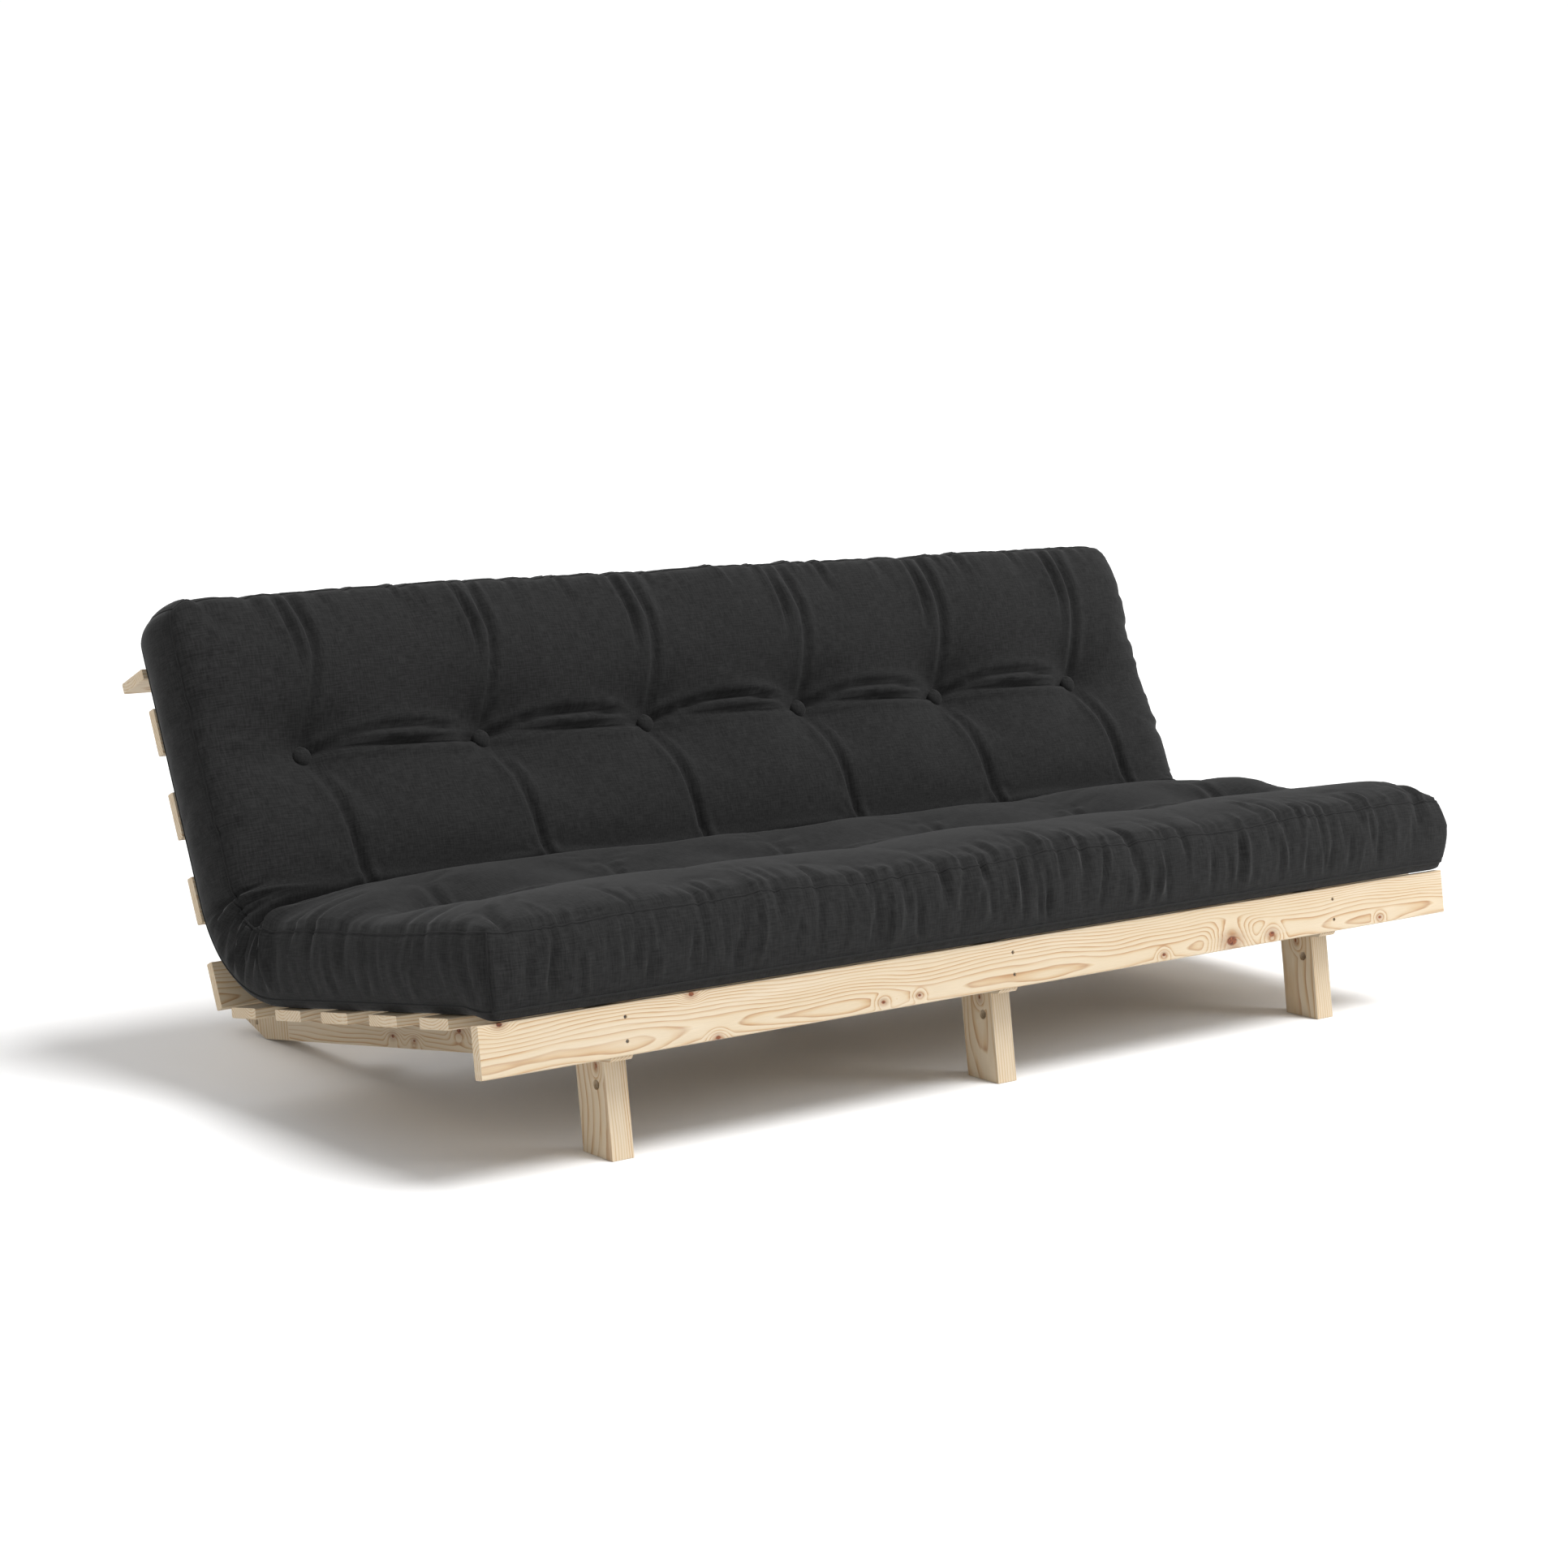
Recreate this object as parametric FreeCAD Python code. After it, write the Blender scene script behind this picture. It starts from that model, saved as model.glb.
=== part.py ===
"""Slatted pine sofa bed with a folding mattress. Millimetres, +Z up, origin on the floor.

The front faces -Y. The seat frame leans back, so its members are drawn in a seat plane
and turned into place. The back frame is drawn in a plane of its own that turns about the
hinge bolts.
"""
import math
import os

import FreeCAD
import Part

os.makedirs("parts", exist_ok=True)

# Overall frame
FRAME_LENGTH = 1900.0
SEAT_LEAN = math.radians(8.8)
BACK_OPENING = math.radians(74.3)
FOLD_LINE_U = 674.1
ORIGIN_SHIFT_Y = -520.74

# Boards: front rail, top board and slats
BOARD_THICK = 16.0
BOARD_WIDTH = 70.0
SLAT_THICK = 15.5
SLAT_TOP = 8.0
SLAT_EDGE = 1.5
SEAT_SLAT_FIRST = 68.5
SEAT_SLAT_PITCH = 126.8
SEAT_SLAT_COUNT = 5
BACK_SLAT_FIRST = -2.5
BACK_SLAT_PITCH = 129.0
BACK_SLAT_COUNT = 4
TOP_BOARD_OUTER = 518.6

# Beams, heels and uprights
BEAM_THICK = 36.0
BEAM_DEPTH = 70.0
BEAM_TOP = SLAT_TOP - SLAT_THICK
BEAM_BOTTOM = BEAM_TOP - BEAM_DEPTH
BEAM_LEFT_FACES = {"left": -737.5, "middle": -39.0, "right": 661.0}
BEAM_END_CHAMFER = 4.0
HEEL_START = 868.0
HEEL_TIP = 942.0
HEEL_BEVEL = math.radians(27.0)
HEEL_HOLE_U = 966.0
HEEL_HOLE_V = -52.0
HEEL_HOLE_RADIUS = 4.0
HEEL_DOWEL_RADIUS = 5.0
HEEL_DOWEL_LENGTH = 60.0
FLOOR_HEIGHT = HEEL_TIP * math.sin(SEAT_LEAN) - BEAM_BOTTOM * math.cos(SEAT_LEAN)

# Hinge between each beam and its upright
HINGE_DEPTH = 50.5
HINGE_RADIUS = 5.0
HINGE_GAP = 1.5
HINGE_CLEARANCE = 0.1
WASHER_RADIUS = 12.0
INSERT_RADIUS = 8.0
INSERT_LENGTH = 26.0
KNOB_RADIUS = 19.0
KNOB_LENGTH = 16.0
KNOB_LOBES = 6

# Front legs
LEG_FRONT = 56.0
LEG_REAR = 122.0
LEG_LEFT_FACES = {"left": -722.0, "middle": -20.0, "right": 684.0}
LEG_SHOULDER = BEAM_BOTTOM - 3.0
LEG_TONGUE_TOP = BEAM_TOP - 4.0
LEG_HOLE_U = 78.0
LEG_HOLE_V = -112.0
LEG_HOLE_RADIUS = 7.0

# Fasteners
SCREW_HEAD_RADIUS = 2.7
SCREW_SHANK_RADIUS = 1.8
SCREW_SINK = 3.0
SLAT_SCREW_LENGTH = 45.0
RAIL_SCREW_LENGTH = 60.0
LEG_SCREW_LENGTH = 42.0
RAIL_SCREW_HEIGHTS = (-18.5, -51.0)

# Mattress
MATTRESS_HALF_LENGTH = 938.0
MATTRESS_THICK = 142.0
MATTRESS_REST = 0.4
MATTRESS_SPLIT = 1.0
MATTRESS_FRONT = -4.0
MATTRESS_BACK_TOP = 592.0
MATTRESS_ROUND = 38.0
BUTTON_PITCH = 314.0
BUTTON_COUNT = 6
BUTTON_RADIUS = 16.0
BUTTON_THICK = 7.0
BUTTON_SINK = 40.0
BUTTON_DIMPLE_RADIUS = 70.0
BACK_BUTTON_S = 334.0
SEAT_BUTTON_U = 285.0

V = FreeCAD.Vector
X_AXIS = V(1, 0, 0)
BACK_UP = (math.cos(BACK_OPENING), math.sin(BACK_OPENING))
BACK_AWAY = (math.sin(BACK_OPENING), -math.cos(BACK_OPENING))
HINGE_S = -HINGE_DEPTH * math.tan(BACK_OPENING / 2.0)


def from_back(s, t):
    """Seat-plane position of a point s up the back and t behind the slats' front faces."""
    u = FOLD_LINE_U + s * BACK_UP[0] + t * BACK_AWAY[0]
    v = SLAT_TOP + s * BACK_UP[1] + t * BACK_AWAY[1]
    return u, v


def world(x, u, v):
    """World position of a seat-plane point at x along the sofa."""
    y = u * math.cos(SEAT_LEAN) + v * math.sin(SEAT_LEAN) + ORIGIN_SHIFT_Y
    z = FLOOR_HEIGHT - u * math.sin(SEAT_LEAN) + v * math.cos(SEAT_LEAN)
    return V(x, y, z)


def prism(points, x0, x1):
    """Solid with a seat-plane outline, from x0 to x1 along the sofa."""
    corners = [world(x0, u, v) for u, v in points]
    face = Part.Face(Part.makePolygon(corners + corners[:1]))
    return face.extrude(V(x1 - x0, 0, 0))


def back_prism(points, x0, x1):
    """Solid with an outline given in the back's own plane."""
    return prism([from_back(s, t) for s, t in points], x0, x1)


def rod(u, v, x0, x1, radius):
    """Cylinder lying along the sofa at a seat-plane point."""
    return Part.makeCylinder(radius, x1 - x0, world(x0, u, v), X_AXIS)


def eased_board(a0, a1, b0, b1):
    """Outline of a board's section with small eased corners."""
    e = SLAT_EDGE
    return [(a0 + e, b0), (a1 - e, b0), (a1, b0 + e), (a1, b1 - e),
            (a1 - e, b1), (a0 + e, b1), (a0, b1 - e), (a0, b0 + e)]


def screw(head, direction, length):
    """Countersunk wood screw with its head at a point, driven along a direction."""
    cone = Part.makeCone(SCREW_HEAD_RADIUS, SCREW_SHANK_RADIUS, 2.6, head, direction)
    shank = Part.makeCylinder(SCREW_SHANK_RADIUS, length, head, direction)
    socket = Part.makeCylinder(1.1, 1.4, head, direction)
    return cone.fuse(shank).cut(socket).removeSplitter()


def screw_hole(face_point, direction, length):
    """Bore for a sunk screw: a wide mouth for the head, then the shank's bore."""
    mouth = Part.makeCylinder(SCREW_HEAD_RADIUS + 0.1, SCREW_SINK, face_point, direction)
    start = face_point + direction * (SCREW_SINK - 0.01)
    seat = Part.makeCone(SCREW_HEAD_RADIUS + 0.1, SCREW_SHANK_RADIUS + 0.02, 2.61, start, direction)
    shank = Part.makeCylinder(SCREW_SHANK_RADIUS + 0.02, length + 0.5, start, direction)
    return mouth.fuse(seat).fuse(shank)


def seat_direction(du, dv):
    """World direction of a seat-plane vector."""
    return world(0, du, dv) - world(0, 0, 0)


def save(name, shape):
    """Write one node."""
    shape.exportStep("parts/" + name + ".step")


def place_screws(spots, direction, length):
    """Screws and their bores for a list of face points."""
    screws = [screw(p + direction * SCREW_SINK, direction, length) for p in spots]
    bores = Part.makeCompound([screw_hole(p, direction, length) for p in spots])
    return screws, bores


beam_centres = [face + BEAM_THICK / 2.0 for face in BEAM_LEFT_FACES.values()]
upright_faces = {side: face + BEAM_THICK + HINGE_GAP for side, face in BEAM_LEFT_FACES.items()}
upright_centres = [face + BEAM_THICK / 2.0 for face in upright_faces.values()]

# Screw positions
into_beam = seat_direction(0, -1)
into_rail = seat_direction(1, 0)
seat_slat_spots = []
for index in range(SEAT_SLAT_COUNT):
    centre_u = SEAT_SLAT_FIRST + index * SEAT_SLAT_PITCH + BOARD_WIDTH / 2.0
    for centre_x in beam_centres:
        seat_slat_spots.append(world(centre_x, centre_u, SLAT_TOP))
seat_slat_screws, seat_slat_bores = place_screws(seat_slat_spots, into_beam, SLAT_SCREW_LENGTH)

rail_spots = [world(x, 0, v) for x in beam_centres for v in RAIL_SCREW_HEIGHTS]
rail_screws, rail_bores = place_screws(rail_spots, into_rail, RAIL_SCREW_LENGTH)

into_upright = seat_direction(BACK_AWAY[0], BACK_AWAY[1])
back_slat_spots = []
for index in range(BACK_SLAT_COUNT):
    centre_s = BACK_SLAT_FIRST + index * BACK_SLAT_PITCH + BOARD_WIDTH / 2.0
    u, v = from_back(centre_s, 0)
    for centre_x in upright_centres:
        back_slat_spots.append(world(centre_x, u, v))
back_slat_screws, back_slat_bores = place_screws(back_slat_spots, into_upright, SLAT_SCREW_LENGTH)

down_upright = seat_direction(-BACK_UP[0], -BACK_UP[1])
top_board_spots = []
for centre_x in upright_centres:
    for t in (33.0, 66.0):
        u, v = from_back(TOP_BOARD_OUTER, t)
        top_board_spots.append(world(centre_x, u, v))
top_board_screws, top_board_bores = place_screws(top_board_spots, down_upright, RAIL_SCREW_LENGTH)

into_leg = V(-1, 0, 0)
leg_screw_spots = []
for face in LEG_LEFT_FACES.values():
    for u, v in ((72.0, -28.0), (106.0, -58.0)):
        leg_screw_spots.append(world(face + BEAM_THICK, u, v))
leg_screws, leg_screw_bores = place_screws(leg_screw_spots, into_leg, LEG_SCREW_LENGTH)

# Front rail
rail_outline = eased_board(0, BOARD_THICK, -BOARD_WIDTH, 0)
front_rail = prism(rail_outline, -FRAME_LENGTH / 2, FRAME_LENGTH / 2).cut(rail_bores)
save("front_rail", front_rail)

# Seat slats
for index in range(SEAT_SLAT_COUNT):
    start = SEAT_SLAT_FIRST + index * SEAT_SLAT_PITCH
    outline = eased_board(start, start + BOARD_WIDTH, BEAM_TOP, SLAT_TOP)
    slat = prism(outline, -FRAME_LENGTH / 2, FRAME_LENGTH / 2).cut(seat_slat_bores)
    save("seat_slat_%d" % (index + 1), slat)

# Beams, heels, legs
hinge_u, hinge_v = from_back(HINGE_S, HINGE_DEPTH)
bevel_run = BEAM_DEPTH / math.tan(HEEL_BEVEL)
heel_dowels = []
hinge_inserts = []
hinge_bolts = []
hinge_washers = []
for side, face in BEAM_LEFT_FACES.items():
    end = face + BEAM_THICK
    dowels = []
    for v in (-27.0, -58.0):
        start = world(face + BEAM_THICK / 2, HEEL_START - HEEL_DOWEL_LENGTH / 2, v)
        dowels.append(Part.makeCylinder(HEEL_DOWEL_RADIUS, HEEL_DOWEL_LENGTH, start, into_rail))
    dowel_bores = Part.makeCompound(dowels)
    heel_dowels += dowels

    c = BEAM_END_CHAMFER
    beam_outline = [(BOARD_THICK + c, BEAM_BOTTOM), (HEEL_START, BEAM_BOTTOM), (HEEL_START, BEAM_TOP),
                    (BOARD_THICK, BEAM_TOP), (BOARD_THICK, BEAM_BOTTOM + c)]
    beam = prism(beam_outline, face, end)
    insert_bore = rod(hinge_u, hinge_v, end - INSERT_LENGTH, end, INSERT_RADIUS)
    beam = beam.cut(insert_bore).cut(dowel_bores)
    beam = beam.cut(seat_slat_bores).cut(rail_bores).cut(leg_screw_bores)
    save("beam_" + side, beam)

    heel_outline = [(HEEL_START, BEAM_BOTTOM), (HEEL_TIP, BEAM_BOTTOM),
                    (HEEL_TIP + bevel_run * 0.9, BEAM_BOTTOM + BEAM_DEPTH * 0.9),
                    (HEEL_TIP + bevel_run * 0.9, BEAM_TOP), (HEEL_START, BEAM_TOP)]
    heel = prism(heel_outline, face, end).cut(dowel_bores)
    heel = heel.cut(rod(HEEL_HOLE_U, HEEL_HOLE_V, face - 1, end + 1, HEEL_HOLE_RADIUS))
    save("beam_heel_" + side, heel)

    insert = insert_bore.cut(rod(hinge_u, hinge_v, end - INSERT_LENGTH + 3, end + 1, HINGE_RADIUS))
    hinge_inserts.append(insert)

    leg_x = LEG_LEFT_FACES[side]
    leg_end = leg_x + BEAM_THICK
    floor_front = -(FLOOR_HEIGHT - LEG_FRONT * math.sin(SEAT_LEAN)) / math.cos(SEAT_LEAN)
    floor_rear = -(FLOOR_HEIGHT - LEG_REAR * math.sin(SEAT_LEAN)) / math.cos(SEAT_LEAN)
    lower = prism([(LEG_FRONT, floor_front), (LEG_REAR, floor_rear),
                   (LEG_REAR, LEG_SHOULDER), (LEG_FRONT, LEG_SHOULDER)], leg_x, leg_end)
    tongue = prism([(LEG_FRONT, LEG_SHOULDER), (LEG_REAR, LEG_SHOULDER),
                    (LEG_REAR, LEG_TONGUE_TOP), (LEG_FRONT, LEG_TONGUE_TOP)], end, leg_end)
    leg = lower.fuse(tongue).removeSplitter()
    leg = leg.cut(rod(LEG_HOLE_U, LEG_HOLE_V, leg_x - 1, leg_end + 1, LEG_HOLE_RADIUS))
    leg = leg.cut(leg_screw_bores)
    save("front_leg_" + side, leg)

    upright_x = upright_faces[side]
    upright_end = upright_x + BEAM_THICK
    washer = rod(hinge_u, hinge_v, end, upright_x, WASHER_RADIUS)
    washer = washer.cut(rod(hinge_u, hinge_v, end - 1, upright_x + 1, HINGE_RADIUS + HINGE_CLEARANCE))
    hinge_washers.append(washer)
    bolt = rod(hinge_u, hinge_v, end - INSERT_LENGTH + 3, upright_end + 2.5, HINGE_RADIUS)
    knob = rod(hinge_u, hinge_v, upright_end + 0.5, upright_end + KNOB_LENGTH, KNOB_RADIUS)
    for lobe in range(KNOB_LOBES):
        angle = 2 * math.pi * lobe / KNOB_LOBES
        du = 1.17 * KNOB_RADIUS * math.cos(angle)
        dv = 1.17 * KNOB_RADIUS * math.sin(angle)
        flute = rod(hinge_u + du, hinge_v + dv, upright_end - 1, upright_end + KNOB_LENGTH + 1, 7.0)
        knob = knob.cut(flute)
    hinge_bolts.append(bolt.fuse(knob).removeSplitter())

# Uprights
shoulder_top = TOP_BOARD_OUTER - BOARD_THICK
for side, face in upright_faces.items():
    body = back_prism([(HINGE_S, SLAT_THICK), (shoulder_top, SLAT_THICK),
                       (shoulder_top, SLAT_THICK + BEAM_DEPTH), (HINGE_S, SLAT_THICK + BEAM_DEPTH)],
                      face, face + BEAM_THICK)
    foot = rod(hinge_u, hinge_v, face, face + BEAM_THICK, BEAM_DEPTH / 2)
    upright = body.fuse(foot).removeSplitter()
    bore = rod(hinge_u, hinge_v, face - 1, face + BEAM_THICK + 1, HINGE_RADIUS + HINGE_CLEARANCE)
    upright = upright.cut(bore).cut(back_slat_bores).cut(top_board_bores)
    save("upright_" + side, upright)

# Back slats and top board
for index in range(BACK_SLAT_COUNT):
    start = BACK_SLAT_FIRST + index * BACK_SLAT_PITCH
    outline = eased_board(start, start + BOARD_WIDTH, 0, SLAT_THICK)
    slat = back_prism(outline, -FRAME_LENGTH / 2, FRAME_LENGTH / 2).cut(back_slat_bores)
    save("back_slat_%d" % (index + 1), slat)
top_outline = eased_board(TOP_BOARD_OUTER - BOARD_THICK, TOP_BOARD_OUTER, 7.5, 7.5 + BOARD_WIDTH)
top_board = back_prism(top_outline, -FRAME_LENGTH / 2, FRAME_LENGTH / 2).cut(top_board_bores)
save("top_board", top_board)

# Fastener nodes
save("rail_screws", Part.makeCompound(rail_screws))
save("seat_slat_screws", Part.makeCompound(seat_slat_screws))
save("back_slat_screws", Part.makeCompound(back_slat_screws))
save("top_board_screws", Part.makeCompound(top_board_screws))
save("leg_screws", Part.makeCompound(leg_screws))
save("heel_dowels", Part.makeCompound(heel_dowels))
save("hinge_inserts", Part.makeCompound(hinge_inserts))
save("hinge_bolts", Part.makeCompound(hinge_bolts))
save("hinge_washers", Part.makeCompound(hinge_washers))


def button_set(point_at, inward):
    """Buttons and the dimples they sit in, along the sofa."""
    buttons = []
    dimples = []
    for index in range(BUTTON_COUNT):
        x = (index - (BUTTON_COUNT - 1) / 2.0) * BUTTON_PITCH
        surface = point_at(x)
        depth = BUTTON_SINK
        dimples.append(Part.makeCone(BUTTON_DIMPLE_RADIUS, BUTTON_RADIUS + 1.0, depth, surface, inward))
        base = surface + inward * (depth - 0.3)
        disc = Part.makeCylinder(BUTTON_RADIUS, BUTTON_THICK, base, inward * -1)
        rim = [edge for edge in disc.Edges if (edge.CenterOfMass - base).dot(inward) < -1.0]
        rim = [edge for edge in rim if edge.Curve.TypeId == "Part::GeomCircle"]
        buttons.append(disc.makeFillet(4.5, rim))
    return buttons, Part.makeCompound(dimples)


# Mattress halves, split on the fold's mitre
mitre = BACK_OPENING / 2.0
crease = MATTRESS_THICK * math.tan(mitre)
r = MATTRESS_ROUND * 0.5
low = MATTRESS_REST
seat_low = SLAT_TOP + low
seat_high = SLAT_TOP + MATTRESS_THICK
seat_outline = [(MATTRESS_FRONT + r, seat_low),
                (FOLD_LINE_U - MATTRESS_SPLIT - low * math.tan(mitre), seat_low),
                (FOLD_LINE_U - MATTRESS_SPLIT - crease, seat_high),
                (MATTRESS_FRONT + r, seat_high),
                (MATTRESS_FRONT, seat_high - r),
                (MATTRESS_FRONT, seat_low + r)]
seat_pad = prism(seat_outline, -MATTRESS_HALF_LENGTH, MATTRESS_HALF_LENGTH)
seat_buttons, seat_dimples = button_set(lambda x: world(x, SEAT_BUTTON_U, seat_high), into_beam)
save("seat_mattress", seat_pad.cut(seat_dimples))
save("seat_buttons", Part.makeCompound(seat_buttons))

back_outline = [(MATTRESS_SPLIT + low * math.tan(mitre), -low),
                (MATTRESS_BACK_TOP - r, -low),
                (MATTRESS_BACK_TOP, -low - r),
                (MATTRESS_BACK_TOP, -MATTRESS_THICK + r),
                (MATTRESS_BACK_TOP - r, -MATTRESS_THICK),
                (MATTRESS_SPLIT + crease, -MATTRESS_THICK)]
back_pad = back_prism(back_outline, -MATTRESS_HALF_LENGTH, MATTRESS_HALF_LENGTH)
back_buttons, back_dimples = button_set(
    lambda x: world(x, *from_back(BACK_BUTTON_S, -MATTRESS_THICK)), into_upright)
save("back_mattress", back_pad.cut(back_dimples))
save("back_buttons", Part.makeCompound(back_buttons))
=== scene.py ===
"""Slatted pine futon sofa bed: boards, mattress and studio built round the CAD frame. Metres."""
import math

import bpy
import numpy as np
from mathutils import Matrix, Vector


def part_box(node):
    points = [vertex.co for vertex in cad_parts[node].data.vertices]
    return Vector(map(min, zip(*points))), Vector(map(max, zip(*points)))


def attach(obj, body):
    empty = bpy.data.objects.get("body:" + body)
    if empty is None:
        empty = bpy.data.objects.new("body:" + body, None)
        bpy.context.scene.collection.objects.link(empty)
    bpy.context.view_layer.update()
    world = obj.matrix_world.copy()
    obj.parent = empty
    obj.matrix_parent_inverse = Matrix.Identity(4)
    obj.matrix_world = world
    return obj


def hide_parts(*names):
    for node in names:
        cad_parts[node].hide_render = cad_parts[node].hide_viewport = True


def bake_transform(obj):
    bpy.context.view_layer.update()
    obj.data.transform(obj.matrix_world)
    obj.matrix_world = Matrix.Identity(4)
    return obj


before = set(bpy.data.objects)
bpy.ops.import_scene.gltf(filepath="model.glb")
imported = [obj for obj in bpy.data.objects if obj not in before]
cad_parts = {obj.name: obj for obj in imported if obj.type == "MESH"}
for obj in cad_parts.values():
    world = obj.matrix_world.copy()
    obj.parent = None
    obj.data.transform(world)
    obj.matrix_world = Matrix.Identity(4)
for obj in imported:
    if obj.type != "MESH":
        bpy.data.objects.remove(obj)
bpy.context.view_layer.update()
MM = 0.001

# The two planes of the frame, as part.py draws them
SEAT_LEAN = math.radians(8.8)
BACK_OPENING = math.radians(74.3)
FOLD_LINE_U = 674.1
SLAT_TOP = 8.0
FLOOR_HEIGHT = 942.0 * math.sin(SEAT_LEAN) + 77.5 * math.cos(SEAT_LEAN)
ORIGIN_SHIFT_Y = -520.74
SIDES = ("left", "middle", "right")


def from_back(s, t):
    """Seat-plane (u, v) in mm of a point s up the back and t behind its slats' faces."""
    c, k = math.cos(BACK_OPENING), math.sin(BACK_OPENING)
    return FOLD_LINE_U + s * c + t * k, SLAT_TOP + s * k - t * c


def place(x, u, v):
    """Frame position in metres of seat-plane coordinates in mm. Takes numbers or arrays."""
    c, k = math.cos(SEAT_LEAN), math.sin(SEAT_LEAN)
    y = u * c + v * k + ORIGIN_SHIFT_Y
    z = FLOOR_HEIGHT - u * k + v * c
    return np.stack(np.broadcast_arrays(x, y, z), -1) * MM


SEAT_BACKWARD = Vector((0, math.cos(SEAT_LEAN), -math.sin(SEAT_LEAN)))
SEAT_UPWARD = Vector((0, math.sin(SEAT_LEAN), math.cos(SEAT_LEAN)))
BACK_UPWARD = SEAT_BACKWARD * math.cos(BACK_OPENING) + SEAT_UPWARD * math.sin(BACK_OPENING)
BACK_REARWARD = SEAT_BACKWARD * math.sin(BACK_OPENING) - SEAT_UPWARD * math.cos(BACK_OPENING)
ALONG_SOFA = Vector((1, 0, 0))


# ---------------------------------------------------------------- materials
def linear(code):
    """Linear RGBA of an sRGB hex colour."""
    parts = [int(code[i:i + 2], 16) / 255 for i in (1, 3, 5)]
    return tuple(p / 12.92 if p <= 0.04045 else ((p + 0.055) / 1.055) ** 2.4 for p in parts) + (1,)


def add(tree, kind, inputs=(), out=0, stops=(), **settings):
    """Add one node: its properties, its inputs by name or number, a ramp's stops. Gives one output."""
    made = tree.nodes.new(kind)
    for key, value in settings.items():
        setattr(made, key, value)
    for key, value in dict(inputs).items():
        if isinstance(value, bpy.types.NodeSocket):
            tree.links.new(value, made.inputs[key])
        else:
            made.inputs[key].default_value = value
    for position, code in stops[:-2]:
        made.color_ramp.elements.new(position)
    for element, (position, code) in zip(made.color_ramp.elements if stops else (), stops):
        element.position = position
        element.color = linear(code)
    return made.outputs[out] if made.outputs else None


def new_material(name):
    """Empty node material and its tree."""
    made = bpy.data.materials.new(name)
    made.use_nodes = True
    made.node_tree.nodes.clear()
    return made, made.node_tree


PINE_RINGS = ((0.0, "#cabaa1"), (0.50, "#c5b397"), (0.76, "#b6966e"), (0.90, "#98693c"), (0.97, "#bfa988"),
              (1.0, "#cabaa1"))
PINE_TONES = ((0.3, "#c3b296"), (0.7, "#cdc0ab"))
PINE_KNOTS = ((0.35, "#54291a"), (0.65, "#8d5230"))


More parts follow.
